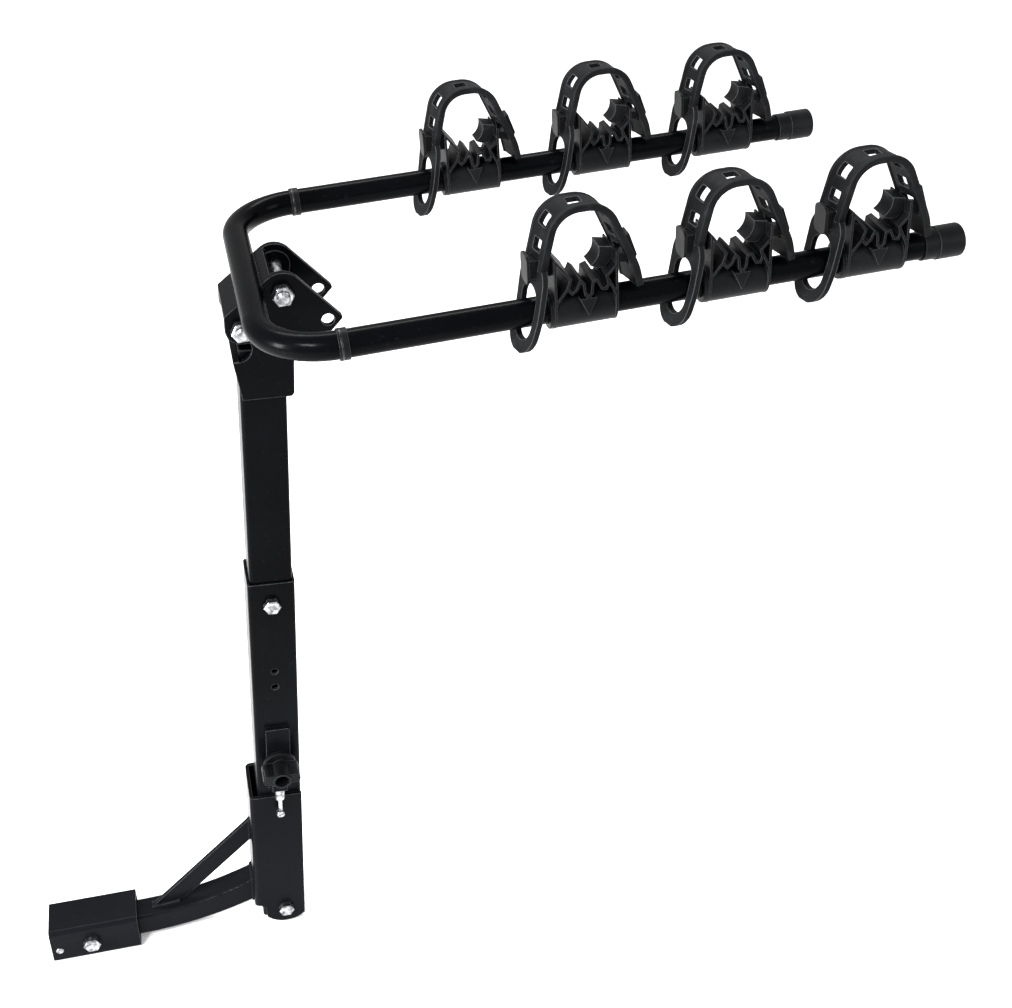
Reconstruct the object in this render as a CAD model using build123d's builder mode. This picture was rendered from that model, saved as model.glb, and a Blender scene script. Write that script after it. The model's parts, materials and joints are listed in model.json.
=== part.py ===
"""Hitch mounted bike rack: a folding mast that carries two arms with padded bike cradles.

Frame: the origin is the centre of the hitch sleeve's open end. +X points rearward, away from
the vehicle and along the arms, +Z is up and +Y completes a right-handed set. Millimetres.
"""

import os
from math import atan2, cos, degrees, hypot, radians, sin

from build123d import *

# ---------------------------------------------------------------- driving dimensions
FIT = 0.05                     # radial clearance of a bolt in its own body's holes
RUNNING = 0.06                 # radial clearance of a turning or sliding fit
GAP = 0.3                      # space between faces that pass each other

sleeve_size, sleeve_length, sleeve_wall = 50.0, 103.5, 4.0
shank_size, shank_wall, shank_start = 30.0, 3.0, 22.0
shank_bend_start, shank_bend_radius, shank_bend_angle = 105.0, 370.0, 24.0
shim_width, shim_start, shim_end = 22.0, 24.0, 96.0
hitch_bolt_x = 48.0
rivet_x, rivet_z, rivet_radius = 9.5, -5.5, 4.5
brace_thickness = 5.0

pivot_x, pivot_z = 281.8, 5.0                  # mast tilt axis
mast_lean, arm_rise = 2.45, 4.05               # degrees

channel_width, channel_wall, channel_corner = 60.0, 4.0, 6.0
channel_back, channel_front = -37.4, 22.6      # across the mast, from the tilt axis
channel_top, channel_web_bottom = 190.0, 8.0   # up the mast, from the tilt axis
channel_foot_centre, channel_foot_radius = (0.0, 5.0), 29.5

lower_mast_size, lower_mast_wall, lower_mast_x = 50.0, 1.9, -2.6
lower_mast_bottom, lower_mast_top = -16.0, 494.0
upper_mast_size, upper_mast_wall, upper_mast_x = 45.0, 2.0, -2.4
upper_mast_bottom, upper_mast_top = 300.0, 770.0
mast_bolt_height = 467.0
spare_hole_heights, spare_hole_radius = (374.0, 352.0), 4.0

knob_height, knob_x, knob_reach = 243.0, -1.8, 61.0
knob_radius, knob_hollow_radius, knob_hollow_depth = 18.5, 8.3, 20.0
latch_x, latch_width, latch_bottom, latch_top, latch_thickness = -2.4, 27.0, 206.0, 294.0, 6.0
rod_x, rod_y, rod_radius, barrel_radius = -3.2, -38.0, 2.5, 5.5
barrel_bottom, barrel_top, foot_height, foot_radius = 194.5, 221.6, 171.5, 4.6
holder_bottom, holder_height = 212.5, 9.0

arm_spacing, arm_radius, arm_wall = 320.0, 12.7, 1.8
arm_origin_x, arm_origin_z = 314.0, 840.5      # where the arms' plane meets the mast's centre line
crossbar_x, arm_end_x, arm_bend_radius = -9.6, 619.0, 64.0
cap_radius, cap_neck_radius = 15.4, 14.3
cap_start, cap_shoulder, cap_end = 587.0, 601.0, 626.0
collar_start, collar_end, collar_radius = 53.0, 62.0, 14.2

head_width, head_wall = 60.0, 4.0
ear_thickness, pivot_lobe, lock_lobe, tip_corner = 6.0, 20.0, 15.5, 3.0
arm_pivot = (20.2, -4.6)                       # along and up from the arm origin
hole_reach, lock_angle, tip_angle = 51.5, -145.0, -42.0

bolt_radius, bolt_tail = 6.0, 4.0              # M12 bolts, and how far they pass their nuts
hex_flats, small_hex_flats, nut_height, head_height = 18.0, 16.0, 10.0, 7.5

near_cradles = (266.0, 405.5, 535.0)           # along the arms
far_cradles = (243.0, 386.0, 522.0)
cradle_depth, cradle_length, cradle_radius, rib = 38.0, 60.0, 17.5, 2.2
pad_depth = 20.0
strap_width, strap_thickness, loop_width, strap_skew = 30.0, 5.0, 42.0, 0.2

BLACK, ZINC = (0.05, 0.05, 0.055), (0.75, 0.76, 0.78)
RUBBER, PLASTIC = (0.09, 0.09, 0.09), (0.06, 0.06, 0.065)

os.makedirs("parts", exist_ok=True)


# ---------------------------------------------------------------- frames and helpers
def base_side(y=0.0):
    """Side view of the base: local x along +X, local y up, normal towards -Y."""
    return Plane(origin=(0, y, 0), x_dir=(1, 0, 0), z_dir=(0, -1, 0))


def mast_point(across, up):
    """A point of the mast's side view, measured from the tilt axis, in the rack's frame."""
    lean = radians(mast_lean)
    return (pivot_x + across * cos(lean) + up * sin(lean), 0, pivot_z - across * sin(lean) + up * cos(lean))


def mast_side(y=0.0):
    """Side view of the mast: local x across, local y up the mast, normal towards -Y."""
    lean = radians(mast_lean)
    return Plane(origin=(pivot_x, y, pivot_z), x_dir=(cos(lean), 0, -sin(lean)), z_dir=(0, -1, 0))


def mast_section(across, up, y=0.0):
    """Cross section of the mast at a height: local x across, local y along +Y."""
    lean = radians(mast_lean)
    x, _, z = mast_point(across, up)
    return Plane(origin=(x, y, z), x_dir=(cos(lean), 0, -sin(lean)), z_dir=(sin(lean), 0, cos(lean)))


def arm_frame(along=0.0, y=0.0):
    """The arms' own frame at a point of an arm: x along the arm, y along +Y, z up from it."""
    rise = radians(arm_rise)
    origin = (arm_origin_x + along * cos(rise), y, arm_origin_z + along * sin(rise))
    return Plane(origin=origin, x_dir=(cos(rise), 0, sin(rise)), z_dir=(-sin(rise), 0, cos(rise)))


def arm_side(y=0.0):
    """Side view of the arms: local x along the arms, local y up, normal towards -Y."""
    rise = radians(arm_rise)
    return Plane(origin=(arm_origin_x, y, arm_origin_z), x_dir=(cos(rise), 0, sin(rise)), z_dir=(0, -1, 0))


def arm_section(along, y):
    """Cross section of an arm: local x along +Y, local y up, normal along the arm."""
    rise = radians(arm_rise)
    return Plane(origin=arm_frame(along, y).origin, x_dir=(0, 1, 0), z_dir=(cos(rise), 0, sin(rise)))


def polar_from(centre, reach, angle):
    """The point at a distance and an angle in degrees from a centre."""
    return (centre[0] + reach * cos(radians(angle)), centre[1] + reach * sin(radians(angle)))


def write(solid, name, colour):
    """Label a finished piece, colour it and write its STEP file."""
    solid.label = name
    solid.color = Color(*colour)
    export_step(solid, f"parts/{name}.step")


def through_hole(side, centre, radius):
    """Cut a hole along Y right through the part in progress."""
    with BuildSketch(side()) as hole:
        with Locations(centre):
            Circle(radius)
    extrude(hole.sketch, amount=60, both=True, mode=Mode.SUBTRACT)


def hex_bolt(side, centre, half_grip, head_side, flats=hex_flats):
    """A hexagon bolt along Y with its head on the -Y (-1) or +Y (+1) side."""
    with BuildPart() as bolt:
        with BuildSketch(side(head_side * half_grip)):
            with Locations(centre):
                RegularPolygon(flats / 2, 6, major_radius=False)
        extrude(amount=-head_side * head_height)
        chamfer(bolt.faces().sort_by(Axis.Y)[0 if head_side < 0 else -1].edges(), 1.0)
        with BuildSketch(side(head_side * half_grip)):
            with Locations(centre):
                Circle(bolt_radius)
        extrude(amount=head_side * (2 * half_grip + nut_height + bolt_tail))
        chamfer(bolt.faces().sort_by(Axis.Y)[-1 if head_side < 0 else 0].edges(), 1.0)
    return bolt.part


def hex_nut(side, centre, half_grip, nut_side):
    """The nut of such a bolt, seated on the -Y (-1) or +Y (+1) side."""
    with BuildPart() as nut:
        with BuildSketch(side(nut_side * half_grip)):
            with Locations(centre):
                RegularPolygon(hex_flats / 2, 6, major_radius=False)
                Circle(bolt_radius + FIT, mode=Mode.SUBTRACT)
        extrude(amount=-nut_side * nut_height)
        outer = nut.faces().sort_by(Axis.Y)[0 if nut_side < 0 else -1].outer_wire().edges()
        chamfer(outer, 1.0)
    return nut.part


def square_tube(section, size, wall, length):
    """A square tube along the normal of its section plane, with rounded corners."""
    with BuildPart() as tube:
        with BuildSketch(section):
            RectangleRounded(size, size, 2 * wall)
            RectangleRounded(size - 2 * wall, size - 2 * wall, wall, mode=Mode.SUBTRACT)
        extrude(amount=length)
    return tube.part


# ---------------------------------------------------------------- base: sleeve, shank and brace
with BuildPart() as hitch_sleeve:
    with BuildSketch(Plane.YZ):
        RectangleRounded(sleeve_size, sleeve_size, 5)
        RectangleRounded(sleeve_size - 2 * sleeve_wall, sleeve_size - 2 * sleeve_wall, 1.5, mode=Mode.SUBTRACT)
    extrude(amount=sleeve_length)
    through_hole(base_side, (hitch_bolt_x, 0), bolt_radius + FIT)
    with BuildSketch(base_side()):
        with Locations((rivet_x, rivet_z)):
            Circle(rivet_radius + FIT)
    extrude(amount=60, mode=Mode.SUBTRACT)
write(hitch_sleeve.part, "hitch_sleeve", BLACK)

with BuildPart() as sleeve_rivet:
    with BuildSketch(base_side(sleeve_wall - sleeve_size / 2)):
        with Locations((rivet_x, rivet_z)):
            Circle(rivet_radius)
    extrude(amount=sleeve_wall + 1.2)
    fillet(sleeve_rivet.faces().sort_by(Axis.Y)[0].edges(), 1.1)
write(sleeve_rivet.part, "sleeve_rivet", ZINC)

with BuildPart() as shank_outline:
    with BuildLine(Plane.XZ) as shank_path:
        Line((shank_start, 0), (shank_bend_start, 0))
        CenterArc((shank_bend_start, shank_bend_radius), shank_bend_radius, -90, shank_bend_angle)
    with BuildSketch(Plane.YZ.offset(shank_start)):
        RectangleRounded(shank_size, shank_size, 3)
    sweep(path=shank_path.line)

with BuildPart() as behind_channel:
    with BuildSketch(mast_side()):
        with Locations((channel_back, 0)):
            Rectangle(150, 500, align=(Align.MIN, Align.CENTER))
    extrude(amount=40, both=True)

with BuildPart() as shank_tube:
    add(shank_outline.part)
    with BuildSketch(Plane.YZ.offset(shank_start)):
        RectangleRounded(shank_size - 2 * shank_wall, shank_size - 2 * shank_wall, 1)
    sweep(path=shank_path.line, mode=Mode.SUBTRACT)
    add(behind_channel.part, mode=Mode.SUBTRACT)
    through_hole(base_side, (hitch_bolt_x, 0), bolt_radius + FIT)
write(shank_tube.part, "shank_tube", BLACK)

shim_thickness = sleeve_size / 2 - sleeve_wall - shank_size / 2
with BuildPart() as sleeve_shims:
    with BuildSketch(Plane.YZ.offset(shim_start)):
        with PolarLocations(shank_size / 2 + shim_thickness / 2, 4):
            Rectangle(shim_thickness, shim_width)
    extrude(amount=shim_end - shim_start)
    through_hole(base_side, (hitch_bolt_x, 0), bolt_radius + FIT)
write(sleeve_shims.part, "sleeve_shims", BLACK)

with BuildPart() as brace:
    with BuildSketch(Plane.XZ):
        Polygon((118, 12), (151, 12), (272, 126), (272, 158), align=None)
    extrude(amount=brace_thickness / 2, both=True)
    add(shank_outline.part, mode=Mode.SUBTRACT)
    add(behind_channel.part, mode=Mode.SUBTRACT)
write(brace.part, "brace", BLACK)

write(hex_bolt(base_side, (hitch_bolt_x, 0), sleeve_size / 2, -1), "hitch_bolt", ZINC)
write(hex_nut(base_side, (hitch_bolt_x, 0), sleeve_size / 2, 1), "hitch_nut", ZINC)

# ---------------------------------------------------------------- pivot channel and tilt bolt
channel_half = channel_width / 2
with BuildPart() as pivot_channel:
    with BuildSketch(mast_section(channel_back, -40)):
        Rectangle(channel_front - channel_back, channel_width, align=(Align.MIN, Align.CENTER))
        fillet(vertices().sort_by(Axis.X)[:2], channel_corner)
        with Locations((channel_wall, 0)):
            Rectangle(90, channel_width - 2 * channel_wall, align=(Align.MIN, Align.CENTER), mode=Mode.SUBTRACT)
    extrude(amount=channel_top + 40)
    with BuildSketch(mast_side()):
        with BuildLine():
            foot_left = polar_from(channel_foot_centre, channel_foot_radius, -142)
            foot_right = polar_from(channel_foot_centre, channel_foot_radius, -40)
            foot_bottom = polar_from(channel_foot_centre, channel_foot_radius, -90)
            ThreePointArc(foot_left, foot_bottom, foot_right)
            Polyline(
                foot_right,
                (channel_front, foot_right[1]),
                (channel_front, channel_top),
                (channel_back, channel_top),
                (channel_back, channel_web_bottom),
                (-31, channel_web_bottom),
                (foot_left[0] - 1.5, 3),
                foot_left,
            )
        make_face()
    extrude(amount=channel_width, both=True, mode=Mode.INTERSECT)
    through_hole(mast_side, (0, 0), bolt_radius + FIT)
write(pivot_channel.part, "pivot_channel", BLACK)

write(hex_bolt(mast_side, (0, 0), channel_half, -1, small_hex_flats), "tilt_bolt", ZINC)
write(hex_nut(mast_side, (0, 0), channel_half, 1), "tilt_nut", ZINC)

# ---------------------------------------------------------------- mast
with BuildPart() as lower_mast:
    add(square_tube(
        mast_section(lower_mast_x, lower_mast_bottom), lower_mast_size, lower_mast_wall,
        lower_mast_top - lower_mast_bottom,
    ))
    through_hole(mast_side, (0, 0), bolt_radius + RUNNING)
    through_hole(mast_side, (lower_mast_x, mast_bolt_height), bolt_radius + FIT)
    for height in spare_hole_heights:
        through_hole(mast_side, (lower_mast_x, height), spare_hole_radius)
    with BuildSketch(mast_side()):
        with Locations((knob_x, knob_height)):
            Circle(4 + RUNNING)
    extrude(amount=60, mode=Mode.SUBTRACT)
write(lower_mast.part, "lower_mast", BLACK)

with BuildPart() as upper_mast:
    add(square_tube(
        mast_section(upper_mast_x, upper_mast_bottom), upper_mast_size, upper_mast_wall,
        upper_mast_top - upper_mast_bottom,
    ))
    through_hole(mast_side, (lower_mast_x, mast_bolt_height), bolt_radius + FIT)
    for height in spare_hole_heights:
        through_hole(mast_side, (lower_mast_x, height), spare_hole_radius)
write(upper_mast.part, "upper_mast", BLACK)

write(
    hex_bolt(mast_side, (lower_mast_x, mast_bolt_height), lower_mast_size / 2, -1, small_hex_flats), "mast_bolt", ZINC
)
write(hex_nut(mast_side, (lower_mast_x, mast_bolt_height), lower_mast_size / 2, 1), "mast_nut", ZINC)

# ---------------------------------------------------------------- latch on the mast's near face
mast_face = lower_mast_size / 2
latch_face = mast_face + latch_thickness
with BuildPart() as latch_plate:
    with BuildSketch(mast_side(-mast_face)):
        with Locations((latch_x, (latch_bottom + latch_top) / 2)):
            RectangleRounded(latch_width, latch_top - latch_bottom, 2.5)
    extrude(amount=latch_thickness)
    with BuildSketch(mast_side(-latch_face)):
        with Locations((rod_x, holder_bottom)):
            Rectangle(17, holder_height, align=(Align.CENTER, Align.MIN))
    extrude(amount=-rod_y + barrel_radius + 1.5 - latch_face)
    with BuildSketch(mast_section(rod_x, latch_bottom - 5, rod_y)):
        Circle(barrel_radius + FIT)
    extrude(amount=40, mode=Mode.SUBTRACT)
    with BuildSketch(mast_side()):
        with Locations((knob_x, knob_height)):
            Circle(4 + RUNNING)
    extrude(amount=60, mode=Mode.SUBTRACT)
write(latch_plate.part, "latch_plate", BLACK)

with BuildPart() as lock_barrel:
    with BuildSketch(mast_section(rod_x, barrel_bottom, rod_y)):
        Circle(barrel_radius)
    extrude(amount=barrel_top - barrel_bottom)
    chamfer(lock_barrel.edges().sort_by(Axis.Z)[0], 1.5)
    with BuildSketch(mast_section(rod_x, barrel_bottom, rod_y)):
        Circle(rod_radius + RUNNING)
    extrude(amount=barrel_top - barrel_bottom - 2, mode=Mode.SUBTRACT)
write(lock_barrel.part, "lock_barrel", ZINC)

with BuildPart() as lock_rod:
    with BuildSketch(mast_section(rod_x, foot_height, rod_y)):
        Circle(rod_radius)
    extrude(amount=barrel_bottom + 9.5 - foot_height)
    with BuildSketch(mast_side(rod_y + 3)):
        with Locations((rod_x, foot_height)):
            Circle(foot_radius)
    extrude(amount=7)
    fillet(lock_rod.faces().sort_by(Axis.Y)[0].edges(), 1.0)
    with BuildSketch(mast_side(rod_y - 4)):
        with Locations((rod_x, foot_height)):
            Rectangle(2 * foot_radius + 1, 1.2, rotation=25)
    extrude(amount=-1.0, mode=Mode.SUBTRACT)
write(lock_rod.part, "lock_rod", ZINC)

knob_base = latch_face + GAP
with BuildPart() as wing_knob:
    with BuildSketch(mast_side(-knob_base)):
        with Locations((knob_x, knob_height)):
            Circle(knob_radius)
    extrude(amount=5)
    fillet(wing_knob.faces().sort_by(Axis.Y)[0].edges(), 1.5)
    with BuildSketch(mast_side(-knob_base)):
        with Locations((knob_x, knob_height)):
            Circle(knob_hollow_radius + 1.7)
    extrude(amount=knob_reach - knob_base)
    with BuildSketch(mast_side(-knob_base - 4)):
        with Locations((knob_x, knob_height)):
            SlotOverall(42, 13)
    extrude(amount=knob_reach - knob_base - 7)
    for groove_z in (-4, 0, 4):
        with BuildSketch(mast_side(-knob_reach + 3)):
            with Locations((knob_x - 20, knob_height + groove_z), (knob_x + 20, knob_height + groove_z)):
                Rectangle(14, 1.3)
        extrude(amount=-14, mode=Mode.SUBTRACT)
    with BuildSketch(mast_side(-knob_reach)):
        with Locations((knob_x, knob_height)):
            Circle(knob_hollow_radius)
    extrude(amount=-knob_hollow_depth, mode=Mode.SUBTRACT)
    with BuildSketch(mast_side()):
        with Locations((knob_x, knob_height)):
            Circle(4 + FIT)
    extrude(amount=60, mode=Mode.SUBTRACT)
write(wing_knob.part, "wing_knob", PLASTIC)

with BuildPart() as knob_screw:
    with BuildSketch(mast_side(-16)):
        with Locations((knob_x, knob_height)):
            Circle(4)
    extrude(amount=knob_reach - knob_hollow_depth - 16 + 4)
    with BuildSketch(mast_side(knob_hollow_depth - knob_reach)):
        with Locations((knob_x, knob_height)):
            RegularPolygon(6, 6)
    extrude(amount=4)
write(knob_screw.part, "knob_screw", ZINC)

# ---------------------------------------------------------------- head bracket on the upper mast
lock_hole = polar_from(arm_pivot, hole_reach, lock_angle)
tip_hole = polar_from(arm_pivot, hole_reach, tip_angle)
head_half = head_width / 2
ear_inner = head_half + GAP
ear_outer = ear_inner + ear_thickness
bolt_line = lock_angle + 180                   # direction from the lock hole to the pivot
across_line = bolt_line + 90                   # direction from that line to the arm bracket's web
crossbar_reach = hypot(arm_pivot[0] - crossbar_x, arm_pivot[1])
crossbar_angle = degrees(atan2(-arm_pivot[1], crossbar_x - arm_pivot[0]))

with BuildPart() as head_bracket:
    with BuildSketch(arm_side()):
        with Locations(arm_pivot):
            Circle(15)
        with Locations(lock_hole):
            Circle(14)
        Polygon(
            (-36.5, -36), (-35.4, -73), (-32.4, -113), (14.5, -117), (17.4, -114), (21, -84.8), (26, -50),
            polar_from(arm_pivot, 15, -25), polar_from(arm_pivot, 15, across_line),
            polar_from(lock_hole, 14, across_line), align=None,
        )
        with Locations((-29.5, -58)):
            Circle(14, mode=Mode.SUBTRACT)
        for swing in (0, 8, 16, 24):
            with Locations(polar_from(arm_pivot, crossbar_reach, crossbar_angle - swing)):
                Circle(arm_radius + 2 * GAP, mode=Mode.SUBTRACT)
    extrude(amount=head_half, both=True)
    with BuildSketch(arm_side()):
        Rectangle(200, 400)
    extrude(amount=head_half - head_wall, both=True, mode=Mode.SUBTRACT)
    with BuildSketch(arm_side()):
        Polygon((-35.4, -71), (-30, -71), (-25, -108), (-32.6, -108), align=None)
    extrude(amount=head_half - 0.5, both=True)
    with BuildSketch(arm_side()):
        Polygon((-26, -72), (16, -76), (11, -110), (-29, -106), align=None)
    extrude(amount=head_half - head_wall, both=True)
    with BuildSketch(mast_section(upper_mast_x, upper_mast_bottom)):
        RectangleRounded(upper_mast_size, upper_mast_size, 2 * upper_mast_wall)
    extrude(amount=upper_mast_top + 40 - upper_mast_bottom, mode=Mode.SUBTRACT)
    through_hole(arm_side, arm_pivot, bolt_radius + RUNNING)
    with BuildSketch(arm_side()):
        with BuildLine():
            CenterArc(arm_pivot, hole_reach, lock_angle - 32, 32)
        trace(line_width=2 * (bolt_radius + GAP))
        with Locations(lock_hole):
            Circle(bolt_radius + GAP)
    extrude(amount=60, both=True, mode=Mode.SUBTRACT)
write(head_bracket.part, "head_bracket", BLACK)

# ---------------------------------------------------------------- arms
with BuildPart() as arm_bracket:
    corner = polar_from(polar_from(lock_hole, pivot_lobe - 1.5, across_line), -2.5, bolt_line)
    with BuildSketch(arm_side()) as ear_outline:
        with Locations(arm_pivot):
            Circle(pivot_lobe)
        with Locations(lock_hole):
            Circle(lock_lobe)
        with Locations((69.2, -38.5), (59.2, -48.0)):
            Circle(tip_corner)
        with Locations(corner):
            Circle(1.5)
        make_hull()
    extrude(amount=ear_outer, both=True)
    web_inner = pivot_lobe - 4
    with BuildSketch(arm_side()):
        Polygon(
            polar_from(polar_from(lock_hole, web_inner, across_line), -60, bolt_line),
            polar_from(polar_from(arm_pivot, web_inner, across_line), 3, bolt_line),
            polar_from(polar_from(arm_pivot, 60, across_line), 3, bolt_line),
            (150, 60), (150, -150), (-150, -150), align=None,
        )
    extrude(amount=ear_inner, both=True, mode=Mode.SUBTRACT)
    through_hole(arm_side, (crossbar_x, 0), arm_radius)
    for hole in (arm_pivot, lock_hole):
        through_hole(arm_side, hole, bolt_radius + FIT)
    through_hole(arm_side, tip_hole, bolt_radius + 0.25)
write(arm_bracket.part, "arm_bracket", BLACK)

with BuildPart() as u_bar:
    with BuildLine(arm_frame()) as u_path:
        half = arm_spacing / 2
        FilletPolyline(
            (arm_end_x, -half), (crossbar_x, -half), (crossbar_x, half), (arm_end_x, half), radius=arm_bend_radius
        )
    with BuildSketch(arm_section(arm_end_x, -half)):
        Circle(arm_radius)
        Circle(arm_radius - arm_wall, mode=Mode.SUBTRACT)
    sweep(path=u_path.line)
write(u_bar.part, "u_bar", BLACK)

write(hex_bolt(arm_side, arm_pivot, ear_outer, 1), "arm_pivot_bolt", ZINC)
write(hex_bolt(arm_side, lock_hole, ear_outer, 1), "arm_lock_bolt", ZINC)
write(hex_nut(arm_side, arm_pivot, ear_outer, -1), "arm_pivot_nut", ZINC)
write(hex_nut(arm_side, lock_hole, ear_outer, -1), "arm_lock_nut", ZINC)

for side_name, side_y in (("near", -half), ("far", half)):
    with BuildPart() as end_cap:
        with BuildSketch(arm_section(cap_shoulder, side_y)):
            Circle(cap_radius)
        extrude(amount=cap_end - cap_shoulder)
        fillet(end_cap.faces().sort_by(Axis.X)[-1].edges(), 3)
        with BuildSketch(arm_section(cap_start, side_y)):
            Circle(cap_neck_radius)
        extrude(amount=cap_shoulder - cap_start)
        with BuildSketch(arm_section(cap_start, side_y)):
            Circle(arm_radius)
        extrude(amount=arm_end_x - cap_start, mode=Mode.SUBTRACT)
    write(end_cap.part, f"end_cap_{side_name}", PLASTIC)

with BuildPart() as arm_collars:
    for side_y in (-half, half):
        with BuildSketch(arm_section(collar_start, side_y)):
            Circle(collar_radius)
            Circle(arm_radius, mode=Mode.SUBTRACT)
        extrude(amount=collar_end - collar_start)
        with BuildSketch(arm_section(collar_start + 2, side_y)):
            Circle(collar_radius + 5)
            Circle(collar_radius - 0.8, mode=Mode.SUBTRACT)
        extrude(amount=1.6, mode=Mode.SUBTRACT)
write(arm_collars.part, "arm_collars", PLASTIC)

with BuildPart() as collar_rings:
    for side_y in (-half, half):
        with BuildSketch(arm_section(collar_start + 2.2, side_y)):
            Circle(collar_radius + 0.2)
            Circle(collar_radius - 0.75, mode=Mode.SUBTRACT)
        extrude(amount=1.2)
write(collar_rings.part, "collar_rings", ZINC)


# ---------------------------------------------------------------- one cradle, in the arm's own frame
def ribs(*points):
    """Thin walls of one thickness that follow a line of points in the side view."""
    for start, end in zip(points, points[1:]):
        trace(Edge.make_line(start, end), line_width=rib)
        with Locations(end):
            Circle(rib / 2)


wall_left, wall_right, wall_top = -25.5, 29.0, 52.0
half_depth = cradle_depth / 2
with BuildPart() as cradle:
    with BuildSketch(Plane.YZ.offset(-cradle_length / 2)):
        Circle(cradle_radius)
    extrude(amount=cradle_length)
    fillet(cradle.edges(), 1.2)
    for wall_x in (wall_left, wall_right):
        with BuildSketch(Plane.YZ.offset(wall_x - rib / 2)):
            Circle(half_depth - 1.2)
            Rectangle(cradle_depth, 30, align=(Align.CENTER, Align.MIN))
        extrude(amount=rib)
    with BuildSketch(Plane.XZ):
        ribs((wall_left, 8), (wall_left, wall_top), (-12, 34), (-15, 25), (-11, 20), (-7, 23), (-3.5, 31),
             (-0.5, 28), (0.5, 18), (3.5, 14))
        ribs((3.5, 14), (6.5, 18), (7.5, 28), (11.5, 29.5), (15.5, 21), (19.5, 20), (21.5, 25), (19.8, 31.5),
             (wall_right, 41))
        ribs((wall_right, 8), (wall_right, wall_top))
        ribs((-15, 25), (wall_left, 12))
        ribs((19.8, 31.5), (wall_right, 13))
        Polygon((-4, 13.5), (11, 13.5), (3.5, -3), align=None)
    extrude(amount=half_depth, both=True)
    with BuildSketch(Plane.XZ):
        Polygon((wall_left, 35), (-45, 35), (-45, 51), (wall_left, 51), align=None)
        Polygon(
            (wall_right, 38), (48, 35), (50.5, 42), (43.8, 62), (40.4, 61), (45.8, 43), (wall_right, 46), align=None
        )
    extrude(amount=7.5, both=True)
    with BuildSketch(Plane.YZ.offset(-47.8)):
        with Locations((0, 43)):
            RectangleRounded(21, 26, 6)
    extrude(amount=2.8)
    with BuildSketch(Plane.YZ):
        Circle(arm_radius + RUNNING)
    extrude(amount=80, both=True, mode=Mode.SUBTRACT)

with BuildPart() as tube_pad:
    with BuildSketch(Plane.XZ):
        with BuildLine():
            ThreePointArc((7.9, 39.5), (14.2, 46.2), (15.6, 56.4))
            Polyline((15.6, 56.4), (27.7, 54), (27.7, 44.4), (20.6, 36.2))
            ThreePointArc((20.6, 36.2), (13.8, 36.8), (7.9, 39.5))
        make_face()
    extrude(amount=pad_depth / 2, both=True)


def band(points, radii, thickness, half_width):
    """A strap: a line of points in the side view with rounded corners, thickened and extruded askew."""
    with BuildSketch(Plane.XZ) as side_view:
        with BuildLine() as route:
            FilletPolyline(*points, radius=radii)
        trace(route.line, line_width=thickness)
    askew = Vector(-strap_skew, 1, 0)
    extrude(side_view.sketch, amount=half_width * askew.length, dir=askew.normalized(), both=True)


def strap_window(centre, angle, width, height, corner):
    """A rectangular window through the strap, cut outwards from a centre in the side view."""
    outward = (cos(radians(angle)), 0, sin(radians(angle)))
    with BuildSketch(Plane(origin=(centre[0], 0, centre[1]), x_dir=(0, 1, 0), z_dir=outward)) as window:
        RectangleRounded(width, height, corner)
    extrude(window.sketch, amount=60, mode=Mode.SUBTRACT)


arch_centre = (-1.8, 69.6)
with BuildPart() as strap:
    band([(-56, -36), (-44.6, 0), (-36, 50)], [120], strap_thickness, loop_width / 2)
    with BuildSketch(Plane.YZ.offset(-90)):
        Rectangle(200, 300)
        with Locations((0, 7)):
            SlotOverall(86, loop_width, rotation=90, mode=Mode.SUBTRACT)
        with Locations((0, 1.5)):
            SlotOverall(51, 26, rotation=90)
    extrude(amount=80, mode=Mode.SUBTRACT)
    band([(-38, 42), (-24.3, 95), (19, 95), (44.8, 33), (48, 15.5)], [25.4, 25.4, 60], strap_thickness,
         strap_width / 2)
    strap_window((-20, 43), 180, 17, 18, 1.5)
    strap_window((-20, 61.5), 176, 13, 11, 1)
    for angle in (150, 92, 36):
        strap_window(arch_centre, angle, 13, 12, 1)
    strap_window((20, 66), 0, 13, 11, 1)
    strap_window((20, 43), 0, 17, 19, 1.5)

for row_name, row_y, places in (("near", -half, near_cradles), ("far", half, far_cradles)):
    for number, place in enumerate(places, start=1):
        where = arm_frame(place, row_y).location
        suffix = f"{row_name}_{number}"
        write(cradle.part.moved(where), f"cradle_{suffix}", PLASTIC)
        write(tube_pad.part.moved(where), f"tube_pad_{suffix}", RUBBER)
        write(strap.part.moved(where), f"strap_{suffix}", RUBBER)
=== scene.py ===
"""Hitch mounted bike rack: materials, small details, floor, light and camera around the CAD frame."""

import json
import math

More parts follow.
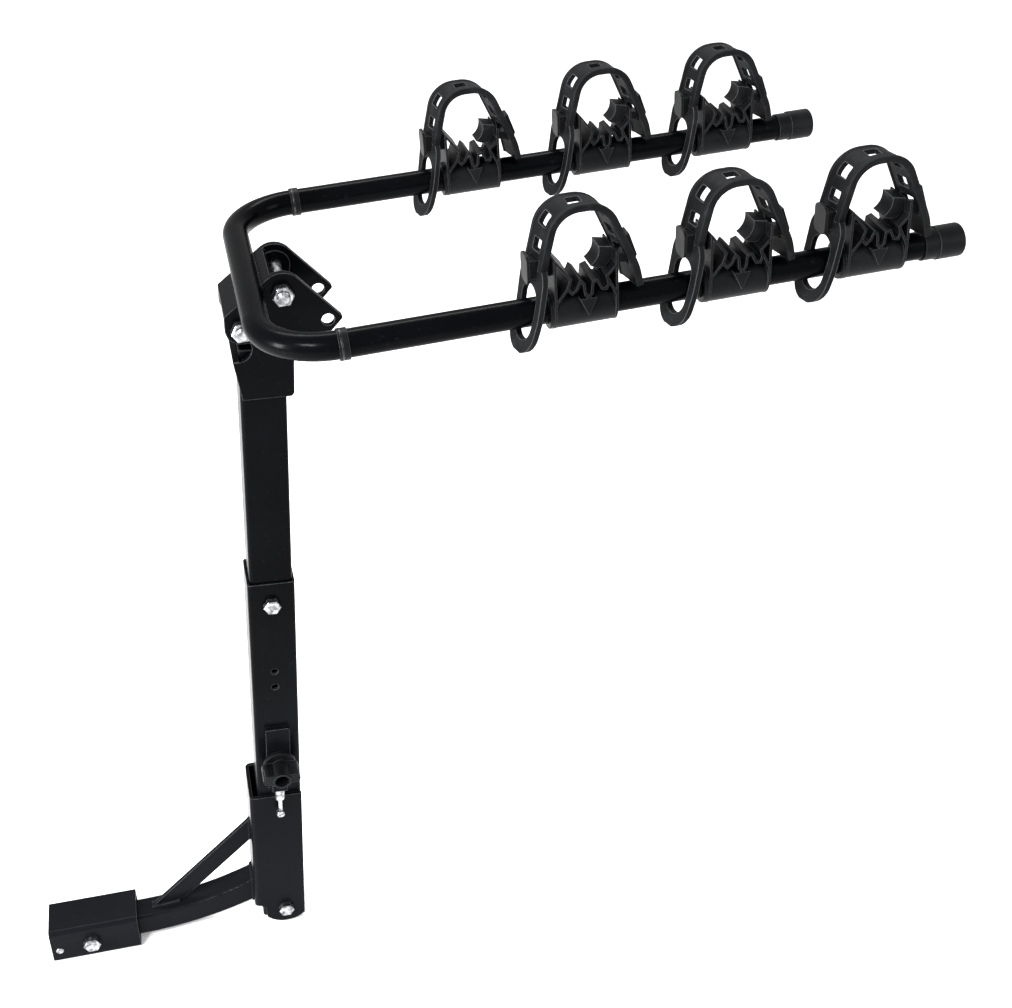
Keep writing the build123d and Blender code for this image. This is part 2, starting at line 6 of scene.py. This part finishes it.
import bmesh
import bpy
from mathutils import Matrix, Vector


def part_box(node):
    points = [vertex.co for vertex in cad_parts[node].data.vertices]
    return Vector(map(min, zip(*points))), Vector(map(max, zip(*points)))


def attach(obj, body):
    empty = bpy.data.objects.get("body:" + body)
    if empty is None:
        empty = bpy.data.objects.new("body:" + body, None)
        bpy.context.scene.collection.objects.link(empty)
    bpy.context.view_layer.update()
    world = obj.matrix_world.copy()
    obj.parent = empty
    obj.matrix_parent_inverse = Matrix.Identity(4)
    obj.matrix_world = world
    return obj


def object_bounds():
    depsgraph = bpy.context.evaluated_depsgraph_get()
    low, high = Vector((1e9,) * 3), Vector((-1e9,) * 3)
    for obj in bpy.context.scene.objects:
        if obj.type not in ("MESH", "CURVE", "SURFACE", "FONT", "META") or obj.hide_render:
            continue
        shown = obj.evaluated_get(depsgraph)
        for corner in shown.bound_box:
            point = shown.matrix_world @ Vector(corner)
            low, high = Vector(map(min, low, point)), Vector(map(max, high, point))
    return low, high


# Dimensions of the CAD part, in metres, in the rack's frame unless a comment says otherwise.
ARM_RISE, MAST_LEAN = math.radians(4.05), math.radians(2.45)
ARM_ORIGIN = (0.314, 0.8405)                   # x and z where the arms' plane meets the mast
MAST_PIVOT = (0.2818, 0.005)                   # x and z of the axis the mast tilts on
ARM_HALF_SPACING, ARM_RADIUS = 0.160, 0.0127
CROSSBAR = -0.0096                             # the crossbar's axis, along the arms from ARM_ORIGIN
BRACKET_WEB = (0.0024, 0.0056)                 # along and up, where the bracket's web meets the crossbar
EAR_OUTER = 0.0363                             # the outside of the bracket's ears, off the middle plane
CHANNEL_BACK = -0.0374                         # across the mast from MAST_PIVOT
BRACE_SIDE = 0.0026                            # just outside the brace's faces, off the middle plane
BRACE_FOOT, BRACE_FOOT_LENGTH = 0.1215, 0.0355  # in x
BRACE_TOP = (0.098, 0.129)                     # up the mast from MAST_PIVOT
SHANK_TOP_RADIUS, SHANK_TOP_CENTRE = 0.355, (0.105, 0.370)  # the arc of the shank's upper face, x and z
CRADLES = {                                    # y of each row, and the cradles' places along the arm
    "near": (-ARM_HALF_SPACING, (0.266, 0.4055, 0.535)),
    "far": (ARM_HALF_SPACING, (0.243, 0.386, 0.522)),
}
# The strap's corners along and above its cradle, the radii of the inner ones, its half width and
# how far it slants along the arm for each metre across it.
STRAP_ROUTE = ((-0.038, 0.042), (-0.0243, 0.095), (0.019, 0.095), (0.0448, 0.033), (0.048, 0.0155))
STRAP_RADII = (0.0254, 0.0254, 0.060)
STRAP_HALF_WIDTH, STRAP_SKEW = 0.015, 0.2
BOLTS = (                                      # each bolt, its nut and the body they are on
    ("hitch_bolt", "hitch_nut", "base"),
    ("tilt_bolt", "tilt_nut", "base"),
    ("mast_bolt", "mast_nut", "mast"),
    ("arm_pivot_bolt", "arm_pivot_nut", "arms"),
    ("arm_lock_bolt", "arm_lock_nut", "arms"),
)

# Details that only this script has.
FLOOR_HALF_SIZE, FLOOR_GAP = 30.0, 0.001
RIPPLE, RINGS_PER_RIPPLE, BEAD_SIDES = 0.0022, 5, 10
SHANK_BEAD, BRACE_FOOT_BEAD, BRACE_TOP_BEAD, EAR_BEAD, WEB_BEAD = 0.0024, 0.0030, 0.0022, 0.0019, 0.0022
BRACE_FOOT_STEPS = 8
BEAD_OFF_CHANNEL, BEAD_OFF_SHANK, BEAD_OFF_EAR, BEAD_OFF_TUBE = 0.0006, 0.0005, 0.0004, 0.0002
END_FACE_DEPTH = 0.0003                        # vertices this near the furthest one are on the end face
CROSSBAR_ARC_START, CROSSBAR_ARC_STEP, CROSSBAR_ARC_POINTS = -142, 9.4, 19  # degrees, degrees, count
SEAM_HALF_LENGTH = 0.035
THREAD_PITCH, THREAD_TURNS, THREAD_START, STEPS_PER_TURN = 0.00125, 2.5, 0.0004, 24
THREAD_ROOT, THREAD_CREST = 0.0057, 0.00632
THREAD_HALF_BASE, THREAD_CREST_SHARE = 0.42, 0.15  # of the pitch, and of that half base
CORNER_STEPS = 12
RIM_HALF_WIDTH, RIM_HALF_HEIGHT, RIM_CORNER, RIM_OVERHANG = 0.0016, 0.0033, 0.0009, 0.0004
RACK_MIDDLE, MAST_HEAD = (0.4, 0, 0.5), (0.33, -0.1, 0.84)

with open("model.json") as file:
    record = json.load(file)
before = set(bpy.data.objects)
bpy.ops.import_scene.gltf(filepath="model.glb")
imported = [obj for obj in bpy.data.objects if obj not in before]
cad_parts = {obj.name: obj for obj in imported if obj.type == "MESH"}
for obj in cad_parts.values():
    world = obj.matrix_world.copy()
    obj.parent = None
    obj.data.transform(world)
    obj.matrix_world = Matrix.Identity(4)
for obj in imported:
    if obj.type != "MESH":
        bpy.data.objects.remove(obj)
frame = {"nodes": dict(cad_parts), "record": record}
cad_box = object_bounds()
nodes = frame["nodes"]
scene = bpy.context.scene


# ---------------------------------------------------------------- camera, light and floor
def add_camera():
    """The photo's camera: its place, angle and lens were fitted to points of the rack."""
    data = bpy.data.cameras.new("camera")
    data.sensor_width = 36.0
    data.lens = 49.97
    data.shift_x, data.shift_y = 0.0358, -0.0460
    data.clip_end = 50
    camera = bpy.data.objects.new("camera", data)
    camera.location = (0.23324, -1.20953, 1.40571)
    camera.rotation_euler = (math.radians(57.3443), math.radians(-0.1143), math.radians(-13.2632))
    scene.collection.objects.link(camera)
    scene.camera = camera


def add_area(name, place, target, size, power):
    """A white rectangular light at a place, turned to a target."""
    data = bpy.data.lights.new(name, "AREA")
    data.shape = "RECTANGLE"
    data.size, data.size_y = size
    data.energy = power
    lamp = bpy.data.objects.new(name, data)
    lamp.location = place
    direction = [t - p for p, t in zip(place, target)]
    flat = math.hypot(direction[0], direction[1])
    heading = math.atan2(direction[1], direction[0]) - math.pi / 2
    lamp.rotation_euler = (math.atan2(flat, -direction[2]), 0, heading)
    scene.collection.objects.link(lamp)


def add_floor():
    """White paper just under the rack's lowest point."""
    size, height = FLOOR_HALF_SIZE, cad_box[0][2] - FLOOR_GAP
    mesh = bpy.data.meshes.new("floor")
    corners = [(-size, -size, height), (size, -size, height), (size, size, height), (-size, size, height)]
    mesh.from_pydata(corners, [], [(0, 1, 2, 3)])
    floor = bpy.data.objects.new("floor", mesh)
    scene.collection.objects.link(floor)
    material = bpy.data.materials.new("floor_paper")
    material.use_nodes = True
    shader = material.node_tree.nodes["Principled BSDF"]
    shader.inputs["Base Color"].default_value = (0.94, 0.94, 0.94, 1)
    shader.inputs["Roughness"].default_value = 0.9
    mesh.materials.append(material)


def set_world():
    """An even white surround."""
    world = bpy.data.worlds.new("studio")
    world.use_nodes = True
    sky = world.node_tree.nodes["Background"]
    sky.inputs["Color"].default_value = (1, 1, 1, 1)
    sky.inputs["Strength"].default_value = 1.08
    scene.world = world
    scene.view_settings.view_transform = "Standard"


# ---------------------------------------------------------------- materials
class Graph:
    """Short way to write a material's nodes."""

    def __init__(self, name):
        self.material = bpy.data.materials.new(name)
        self.material.use_nodes = True
        self.tree = self.material.node_tree
        self.shader = self.tree.nodes["Principled BSDF"]
        self.place = self.add("ShaderNodeTexCoord").outputs["Object"]

    def add(self, kind, **settings):
        """A new node with some of its settings."""
        node = self.tree.nodes.new(kind)
        for key, value in settings.items():
            setattr(node, key, value)
        return node

    def link(self, source, target):
        """A link from an output to an input."""
        self.tree.links.new(source, target)

    def noise(self, scale, detail=3.0, roughness=0.5, stretch=(1, 1, 1)):
        """Noise between about 0 and 1, in object space."""
        mapping = self.add("ShaderNodeMapping")
        mapping.inputs["Scale"].default_value = stretch
        self.link(self.place, mapping.inputs["Vector"])
        node = self.add("ShaderNodeTexNoise")
        node.inputs["Scale"].default_value = scale
        node.inputs["Detail"].default_value = detail
        node.inputs["Roughness"].default_value = roughness
        self.link(mapping.outputs["Vector"], node.inputs["Vector"])
        return node.outputs["Fac"]

    def remap(self, value, low, high, to_low, to_high):
        """A value taken from one range to another, and kept within it."""
        node = self.add("ShaderNodeMapRange")
        node.inputs["From Min"].default_value = low
        node.inputs["From Max"].default_value = high
        node.inputs["To Min"].default_value = to_low
        node.inputs["To Max"].default_value = to_high
        self.link(value, node.inputs["Value"])
        return node.outputs["Result"]

    def mix(self, factor, first, second):
        """A blend of two colours, each a tuple or another node's output."""
        node = self.add("ShaderNodeMix", data_type="RGBA")
        self.link(factor, node.inputs[0])
        for socket, value in ((node.inputs[6], first), (node.inputs[7], second)):
            if isinstance(value, tuple):
                socket.default_value = (*value, 1)
            else:
                self.link(value, socket)
        return node.outputs[2]

    def combine(self, operation, first, second):
        """A math operation on two outputs."""
        node = self.add("ShaderNodeMath", operation=operation)
        self.link(first, node.inputs[0])
        self.link(second, node.inputs[1])
        return node.outputs[0]

    def height(self):
        """Height above the frame's origin in metres."""
        split = self.add("ShaderNodeSeparateXYZ")
        self.link(self.place, split.inputs["Vector"])
        return split.outputs["Z"]

    def rounded(self, radius):
        """The surface's normal, with its edges rounded to a radius in metres."""
        bevel = self.add("ShaderNodeBevel", samples=4)
        bevel.inputs["Radius"].default_value = radius
        return bevel.outputs["Normal"]

    def edges(self, radius):
        """1 along outer and inner edges, 0 on open faces."""
        turn = self.add("ShaderNodeVectorMath", operation="DOT_PRODUCT")
        self.link(self.rounded(radius), turn.inputs[0])
        self.link(self.add("ShaderNodeNewGeometry").outputs["Normal"], turn.inputs[1])
        return self.remap(turn.outputs["Value"], 0.995, 0.80, 0, 1)

    def colour(self, source):
        """The output that gives the base colour."""
        self.link(source, self.shader.inputs["Base Color"])

    def rough(self, source):
        """The output that gives the roughness."""
        self.link(source, self.shader.inputs["Roughness"])

    def relief(self, *layers, edge):
        """Bump layers of (height, distance), over edges rounded to a radius in metres."""
        normal = self.rounded(edge)
        for height, distance in layers:
            bump = self.add("ShaderNodeBump")
            bump.inputs["Distance"].default_value = distance
            self.link(height, bump.inputs["Height"])
            self.link(normal, bump.inputs["Normal"])
            normal = bump.outputs["Normal"]
        self.link(normal, self.shader.inputs["Normal"])


def powder_coat():
    """Satin black powder coat with orange peel, a few dust specks, edges lightened as a painted highlight,
    and a lighter tone towards the bottom.
    """
    deep, pale = (0.0004, 0.0005, 0.0008), (0.0011, 0.0013, 0.0018)
    lower_tone, speck, edge_highlight = (0.0038, 0.0043, 0.0055), (0.014, 0.015, 0.017), (0.085, 0.088, 0.094)
    g = Graph("powder_coat")
    cloud = g.noise(9, 4)
    dust = g.noise(190, 6, 0.7)
    peel = g.noise(850, 2)
    base = g.mix(g.remap(cloud, 0.35, 0.65, 0, 1), deep, pale)
    # Lighter towards the bottom: blended fully to a paler tone at 5 cm and not at all above 46 cm, broken
    # up by the cloud noise.
    low = g.remap(g.height(), 0.05, 0.46, 1, 0)
    base = g.mix(g.combine("MULTIPLY", low, g.remap(cloud, 0.2, 0.8, 0.7, 1)), base, lower_tone)
    base = g.mix(g.remap(dust, 0.60, 0.78, 0, 0.4), base, speck)
    # Painted highlight: the edges are lightened towards a pale grey, broken up by the dust noise.
    edge_highlight_mask = g.combine("MULTIPLY", g.edges(0.0012), g.remap(dust, 0.3, 0.6, 0.35, 1))
    g.colour(g.mix(edge_highlight_mask, base, edge_highlight))
    g.rough(g.remap(g.combine("ADD", cloud, peel), 0.7, 1.3, 0.20, 0.31))
    g.shader.inputs["Specular IOR Level"].default_value = 0.014
    g.shader.inputs["Coat Weight"].default_value = 0.03
    g.shader.inputs["Coat Roughness"].default_value = 0.16
    g.relief((peel, 0.00008), (dust, 0.00003), edge=0.0016)
    return g.material


def zinc_plate(name, dark, light):
    """Zinc plate between two greys, cloudy, with fine turning marks and rims darkened as painted shade."""
    g = Graph(name)
    cloud = g.noise(190, 5, 0.6)
    stain = g.noise(90, 3)
    fine = g.noise(900, 3, stretch=(1, 0.15, 1))
    deep, pale = (dark, dark * 1.03, dark * 1.1), (light, light * 1.02, light * 1.05)
    base = g.mix(g.remap(cloud, 0.38, 0.62, 0, 1), deep, pale)
    base = g.mix(g.remap(stain, 0.5, 0.7, 0, 0.6), base, (dark * 1.3, dark * 1.3, dark * 1.35))
    # Painted shade: rims and inner edges are darkened to a near black grey.
    g.colour(g.mix(g.edges(0.0007), base, (0.07, 0.07, 0.075)))
    g.shader.inputs["Metallic"].default_value = 1.0
    g.rough(g.remap(fine, 0.3, 0.7, 0.22, 0.42))
    g.relief((cloud, 0.00012), (fine, 0.00005), edge=0.0005)
    return g.material


def moulded_plastic():
    """Black moulded plastic with a fine grain, flow marks and edges lightened as a painted highlight."""
    deep, pale = (0.0016, 0.0018, 0.0022), (0.0040, 0.0043, 0.0050)
    g = Graph("moulded_plastic")
    cloud = g.noise(30, 4)
    grain = g.noise(1500, 2, 0.6)
    flow = g.noise(60, 3, stretch=(1, 1, 0.3))
    base = g.mix(g.remap(cloud, 0.35, 0.65, 0, 1), deep, pale)
    base = g.mix(g.remap(flow, 0.6, 0.8, 0, 0.4), base, (0.015, 0.016, 0.018))
    # Painted highlight: the edges are lightened to a dark grey.
    g.colour(g.mix(g.edges(0.0009), base, (0.040, 0.041, 0.044)))
    g.rough(g.remap(g.combine("ADD", cloud, grain), 0.7, 1.3, 0.34, 0.50))
    g.shader.inputs["Specular IOR Level"].default_value = 0.06
    g.relief((grain, 0.00008), edge=0.0008)
    return g.material


def moulded_rubber():
    """Dull black rubber with a pale bloom and edges lightened as a painted highlight."""
    deep, pale = (0.0018, 0.0020, 0.0025), (0.0042, 0.0045, 0.0052)
    g = Graph("moulded_rubber")
    cloud = g.noise(25, 4)
    grain = g.noise(1100, 3, 0.6)
    bloom = g.noise(70, 5, 0.65)
    base = g.mix(g.remap(cloud, 0.35, 0.65, 0, 1), deep, pale)
    base = g.mix(g.remap(bloom, 0.52, 0.78, 0, 0.5), base, (0.014, 0.015, 0.017))
    # Painted highlight: the edges are lightened to a mid-dark grey.
    g.colour(g.mix(g.edges(0.0012), base, (0.080, 0.082, 0.086)))
    g.rough(g.remap(g.combine("ADD", cloud, grain), 0.7, 1.3, 0.48, 0.66))
    g.shader.inputs["Specular IOR Level"].default_value = 0.055
    g.relief((grain, 0.0001), (bloom, 0.0002), edge=0.0010)
    return g.material


def paint_nodes():
    """Give every CAD node the finish its record names, and return the finishes."""
    made = {
        "powder_coat": powder_coat(),
        "zinc": zinc_plate("zinc_plate", 0.11, 0.52),
        "plastic": moulded_plastic(),
        "rubber": moulded_rubber(),
    }
    for part in frame["record"]["subparts"]:
        for mesh_slot in nodes[part["node"]].material_slots:
            mesh_slot.material = made[part["material_slot"]]
    dull_zinc = zinc_plate("dull_zinc", 0.012, 0.08)
    for mesh_slot in nodes["collar_rings"].material_slots:
        mesh_slot.material = dull_zinc
    return made


# ---------------------------------------------------------------- detail pieces
def arm_point(along, y, up):
    """A point in the arms' own frame, in the rack's frame."""
    return (
        ARM_ORIGIN[0] + along * math.cos(ARM_RISE) - up * math.sin(ARM_RISE),
        y,
        ARM_ORIGIN[1] + along * math.sin(ARM_RISE) + up * math.cos(ARM_RISE),
    )


def mast_point(across, y, up):
    """A point in the mast's own frame, in the rack's frame."""
    return (
        MAST_PIVOT[0] + across * math.cos(MAST_LEAN) + up * math.sin(MAST_LEAN),
        y,
        MAST_PIVOT[1] - across * math.sin(MAST_LEAN) + up * math.cos(MAST_LEAN),
    )


def spaced(points, step):
    """The same line of points with a point about every step along it."""
    line = [Vector(points[0])]
    for start, end in zip(points, points[1:]):
        start, end = Vector(start), Vector(end)
        count = max(1, round((end - start).length / step))
        line += [start.lerp(end, i / count) for i in range(1, count + 1)]
    return line


def skin(rings, closed_along=False):
    """Faces of a tube through rings of vertices that all have the same number of points."""
    count, size = len(rings), len(rings[0])
    vertices = [point for ring in rings for point in ring]
    faces = []
    for i in range(count if closed_along else count - 1):
        here, there = i * size, (i + 1) % count * size
        for j in range(size):
            k = (j + 1) % size
            faces.append((here + j, here + k, there + k, there + j))
    if not closed_along:
        faces.append(tuple(reversed(range(size))))
        faces.append(tuple(range((count - 1) * size, count * size)))
    return vertices, faces


def add_piece(name, vertices, faces, body, slot, finishes, smooth=True):
    """A visible piece that rides on a body and wears the finish of a slot."""
    mesh = bpy.data.meshes.new(name)
    mesh.from_pydata(vertices, [], faces)
    shape = bmesh.new()
    shape.from_mesh(mesh)
    bmesh.ops.recalc_face_normals(shape, faces=shape.faces)
    shape.to_mesh(mesh)
    shape.free()
    mesh.polygons.foreach_set("use_smooth", [smooth] * len(mesh.polygons))
    mesh.materials.append(finishes[slot])
    piece = bpy.data.objects.new(name, mesh)
    scene.collection.objects.link(piece)
    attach(piece, body)


def add_weld(name, points, radius, body, finishes, closed=False):
    """A bead of overlapping ripples along a line, uneven in size and thinner at open ends."""
    line = spaced(points, RIPPLE / RINGS_PER_RIPPLE)
    if closed:
        line = line[:-1]
    rings = []
    for i, centre in enumerate(line):
        ahead = line[(i + 1) % len(line)] if closed else line[min(i + 1, len(line) - 1)]
        behind = line[i - 1] if closed or i else line[0]
        along = (ahead - behind).normalized()
        side = along.orthogonal() if abs(along.y) > 0.9 else along.cross(Vector((0, 1, 0)))
        side.normalize()
        up = along.cross(side)
        phase = i / RINGS_PER_RIPPLE
        swell = 0.86 + 0.14 * abs(math.sin(math.pi * phase)) + 0.05 * math.sin(1.7 * phase + 2)
        if not closed:
            swell *= min(1, 0.55 + 0.15 * min(i, len(line) - 1 - i))
        rings.append([
            centre + radius * swell * (math.cos(turn) * side + math.sin(turn) * up)
            for turn in [2 * math.pi * j / BEAD_SIDES for j in range(BEAD_SIDES)]
        ])
    add_piece(name, *skin(rings, closed), body, "powder_coat", finishes)


def hull(points):
    """The convex outline of a set of points in a plane."""
    points = sorted(set(points))
    outline = []
    for line in (points, points[::-1]):
        part = []
        for point in line:
            while len(part) > 1 and (
                (part[-1][0] - part[-2][0]) * (point[1] - part[-2][1])
                <= (part[-1][1] - part[-2][1]) * (point[0] - part[-2][0])
            ):
                part.pop()
            part.append(point)
        outline += part[:-1]
    return outline


def add_shank_weld(finishes):
    """The bead round the shank where it meets the channel's back."""
    placed = []
    for vertex in nodes["shank_tube"].data.vertices:
        dx, dz = vertex.co.x - MAST_PIVOT[0], vertex.co.z - MAST_PIVOT[1]
        across = dx * math.cos(MAST_LEAN) - dz * math.sin(MAST_LEAN)
        up = dx * math.sin(MAST_LEAN) + dz * math.cos(MAST_LEAN)
        placed.append((across, round(vertex.co.y, 5), round(up, 5)))
    furthest = max(across for across, _, _ in placed)
    end_face = hull([(y, up) for across, y, up in placed if across > furthest - END_FACE_DEPTH])
    outline = [mast_point(CHANNEL_BACK - BEAD_OFF_CHANNEL, y, up) for y, up in end_face]
    add_weld("weld_shank", outline + outline[:1], SHANK_BEAD, "base", finishes, closed=True)


def add_brace_welds(finishes):
    """The beads along both faces of the brace, at its foot on the shank and its top on the channel."""
    for side, y in (("near", -BRACE_SIDE), ("far", BRACE_SIDE)):
        foot = []
        for step in range(BRACE_FOOT_STEPS + 1):
            x = BRACE_FOOT + BRACE_FOOT_LENGTH * step / BRACE_FOOT_STEPS
            drop = math.sqrt(SHANK_TOP_RADIUS**2 - (x - SHANK_TOP_CENTRE[0]) ** 2)
            foot.append((x, y, SHANK_TOP_CENTRE[1] - drop + BEAD_OFF_SHANK))
        add_weld(f"weld_brace_foot_{side}", foot, BRACE_FOOT_BEAD, "base", finishes)
        top = [mast_point(CHANNEL_BACK - BEAD_OFF_CHANNEL, y, up) for up in BRACE_TOP]
        add_weld(f"weld_brace_top_{side}", top, BRACE_TOP_BEAD, "base", finishes)


def add_crossbar_welds(finishes):
    """The beads between the crossbar and the arm bracket's two ears and web."""
    reach = ARM_RADIUS + BEAD_OFF_TUBE
    for side, y in (("near", -EAR_OUTER - BEAD_OFF_EAR), ("far", EAR_OUTER + BEAD_OFF_EAR)):
        arc = []
        for step in range(CROSSBAR_ARC_POINTS):
            turn = math.radians(CROSSBAR_ARC_START + CROSSBAR_ARC_STEP * step)
            arc.append(arm_point(CROSSBAR + reach * math.cos(turn), y, reach * math.sin(turn)))
        add_weld(f"weld_crossbar_{side}", arc, EAR_BEAD, "arms", finishes)
    seam = [arm_point(BRACKET_WEB[0], y, BRACKET_WEB[1]) for y in (-SEAM_HALF_LENGTH, SEAM_HALF_LENGTH)]
    add_weld("weld_crossbar_web", seam, WEB_BEAD, "arms", finishes)


def add_threads(finishes):
    """The ridges on the ends of the bolts that stand out of their nuts."""
    half = Vector((0, THREAD_PITCH * THREAD_HALF_BASE, 0))
    for bolt, nut, body in BOLTS:
        low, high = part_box(nut)
        x, z = (low[0] + high[0]) / 2, (low[2] + high[2]) / 2
        outward = 1 if low[1] > 0 else -1
        face = high[1] if outward > 0 else low[1]
        rings = []
        for step in range(int(THREAD_TURNS * STEPS_PER_TURN)):
            turn = 2 * math.pi * step / STEPS_PER_TURN
            y = face + outward * (THREAD_START + THREAD_PITCH * step / STEPS_PER_TURN)
            reach = Vector((math.cos(turn), 0, math.sin(turn)))
            root, crest = Vector((x, y, z)) + THREAD_ROOT * reach, Vector((x, y, z)) + THREAD_CREST * reach
            rings.append([
                root - half, crest - half * THREAD_CREST_SHARE,
                crest + half * THREAD_CREST_SHARE, root + half,
            ])
        add_piece(f"thread_{bolt}", *skin(rings), body, "zinc", finishes, smooth=False)


def strap_line():
    """The strap's centre line in the cradle's side view, with its corners rounded."""
    line = [Vector(STRAP_ROUTE[0])]
    for before, corner, after, radius in zip(STRAP_ROUTE, STRAP_ROUTE[1:], STRAP_ROUTE[2:], STRAP_RADII):
        before, corner, after = Vector(before), Vector(corner), Vector(after)
        inward, onward = (corner - before).normalized(), (after - corner).normalized()
        turn = inward.angle(onward)
        reach = radius * math.tan(turn / 2)
        start = corner - inward * reach
        across = (onward - inward * inward.dot(onward)).normalized()
        centre = start + across * radius
        for step in range(CORNER_STEPS + 1):
            swing = turn * step / CORNER_STEPS
            line.append(centre - across * radius * math.cos(swing) + inward * radius * math.sin(swing))
    line.append(Vector(STRAP_ROUTE[-1]))
    return line


def rim_section():
    """The outline of a strap's rim, across and up: a rectangle with rounded corners."""
    flat_x, flat_y = RIM_HALF_WIDTH - RIM_CORNER, RIM_HALF_HEIGHT - RIM_CORNER
    return [
        (sx * flat_x + RIM_CORNER * math.cos(turn), sy * flat_y + RIM_CORNER * math.sin(turn))
        for sx, sy, first in ((1, 1, 0), (-1, 1, 90), (-1, -1, 180), (1, -1, 270))
        for turn in [math.radians(first + 30 * k) for k in range(4)]
    ]


def rim_rings(route, section, place, row_y, y):
    """The rim's section carried along one strap's route, y off the strap's middle."""
    rings = []
    for i, point in enumerate(route):
        ahead, behind = route[min(i + 1, len(route) - 1)], route[max(i - 1, 0)]
        along = (ahead - behind).normalized()
        out = Vector((-along.y, along.x))
        rings.append([
            arm_point(
                place + point.x + out.x * up - STRAP_SKEW * (y + across),
                row_y + y + across,
                point.y + out.y * up,
            )
            for across, up in section
        ])
    return rings


def add_strap_rims(finishes):
    """The raised rims along both edges of each strap."""
    route, section = strap_line(), rim_section()
    for row, (row_y, places) in CRADLES.items():
        for number, place in enumerate(places, start=1):
            for side, edge in (("a", -1), ("b", 1)):
                y = edge * (STRAP_HALF_WIDTH - RIM_HALF_WIDTH + RIM_OVERHANG)
                shape = skin(rim_rings(route, section, place, row_y, y))
                name, body = f"strap_rim_{row}_{number}_{side}", f"cradle_{row}_{number}"
                add_piece(name, *shape, body, "rubber", finishes)


add_camera()
add_floor()
set_world()
add_area("key", (-1.2, -1.8, 2.6), RACK_MIDDLE, (0.8, 0.4), 110)
add_area("side", (-1.6, -0.6, 0.95), MAST_HEAD, (0.4, 0.8), 95)
add_area("fill", (2.4, -1.6, 1.6), RACK_MIDDLE, (1.0, 1.6), 30)
add_area("back", (0.4, 1.7, 3.2), RACK_MIDDLE, (2.2, 0.5), 90)
finishes = paint_nodes()
add_shank_weld(finishes)
add_brace_welds(finishes)
add_crossbar_welds(finishes)
add_threads(finishes)
add_strap_rims(finishes)
